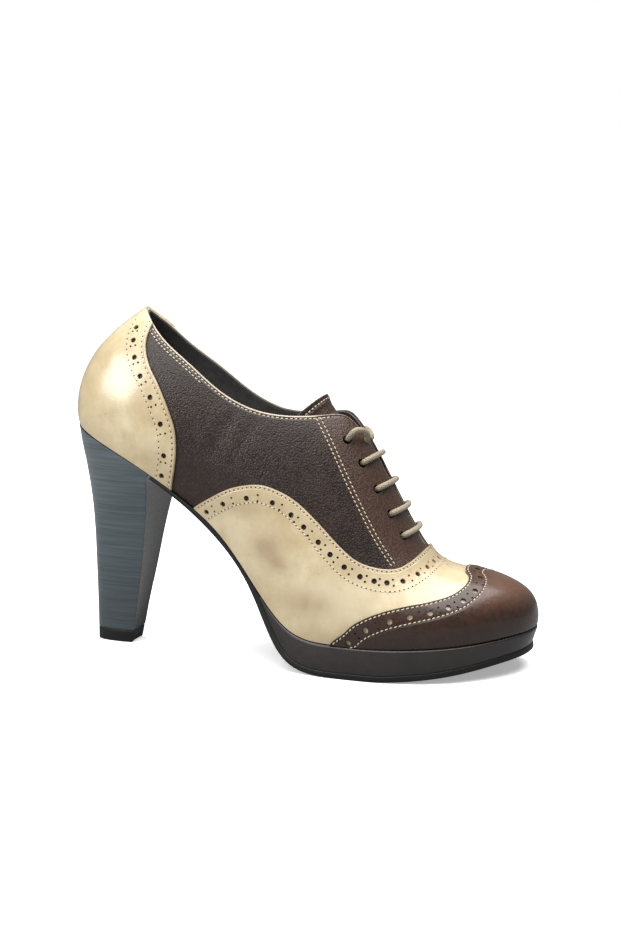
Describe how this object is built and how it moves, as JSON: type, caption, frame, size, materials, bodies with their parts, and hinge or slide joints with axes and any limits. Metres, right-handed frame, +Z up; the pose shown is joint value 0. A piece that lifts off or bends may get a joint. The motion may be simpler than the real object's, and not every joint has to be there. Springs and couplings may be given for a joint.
{
  "type": "lace-up heeled shoe",
  "caption": "Right lace-up heeled shoe with a hollow two-tone leather upper, wing toe cap, curved vamp, heel counter, platform sole and tall stacked heel.",
  "frame": {"origin": "on the floor under the middle of the shoe's overall box", "axes": "+X from heel to toe, +Y from the outer side to the inner side, +Z up from the floor"},
  "size_m": [0.2194, 0.0804, 0.162],
  "materials": {
    "brown_leather": "tumbled grain, satin",
    "cream_leather": "smooth, polished, antiqued",
    "dark_leather": "smooth, burnished",
    "lining_leather": "matt lining",
    "stacked_heel": "fine stacked layers, satin",
    "black_rubber": "smooth, dull",
    "lace_cord": "round waxed cord"
  },
  "bodies": {
    "root": {"upper": "brown_leather", "tongue": "brown_leather", "vamp": "cream_leather", "heel_counter": "cream_leather", "toe_cap": "dark_leather", "platform": "dark_leather", "insole": "lining_leather", "outsole": "black_rubber", "top_piece": "black_rubber", "heel": "stacked_heel", "lace_bar_1": "lace_cord", "lace_bar_2": "lace_cord", "lace_bar_3": "lace_cord", "lace_bar_4": "lace_cord", "lace_end_outer": "lace_cord", "lace_end_inner": "lace_cord"}
  },
  "joints": []
}
